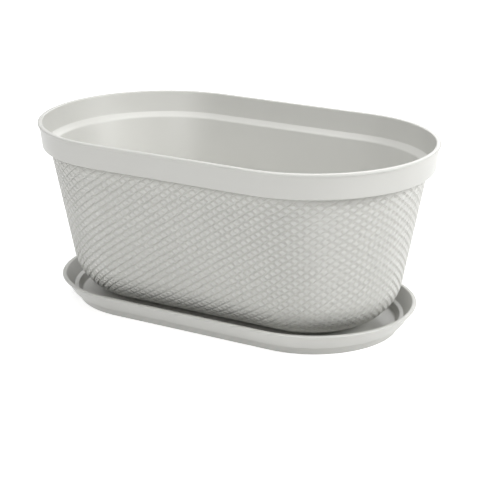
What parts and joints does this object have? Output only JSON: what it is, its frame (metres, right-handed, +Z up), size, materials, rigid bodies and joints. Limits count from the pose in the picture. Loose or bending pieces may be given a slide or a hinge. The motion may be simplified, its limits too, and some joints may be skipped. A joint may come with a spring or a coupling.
{
  "type": "oval planter",
  "caption": "Oval tapered planter pot with a smooth rim band and a diamond-weave body, standing loose in a matching oval drip saucer.",
  "frame": {"origin": "on the surface that the saucer stands on, under the middle of the oval", "axes": "+X along the length, +Y across the width, +Z up"},
  "size_m": [0.4, 0.234, 0.1774],
  "materials": {
    "pot_plastic": "light warm grey moulded plastic, satin, with a raised diamond weave on the body",
    "saucer_plastic": "light warm grey moulded plastic, satin and smooth"
  },
  "bodies": {
    "saucer": {"saucer": "saucer_plastic"},
    "pot": {"planter_pot": "pot_plastic"}
  },
  "joints": [
    {"name": "pot_lift", "type": "slide", "parent": "saucer", "child": "pot", "axis": [0, 0, 1], "range_m": [0, 0.06]}
  ]
}
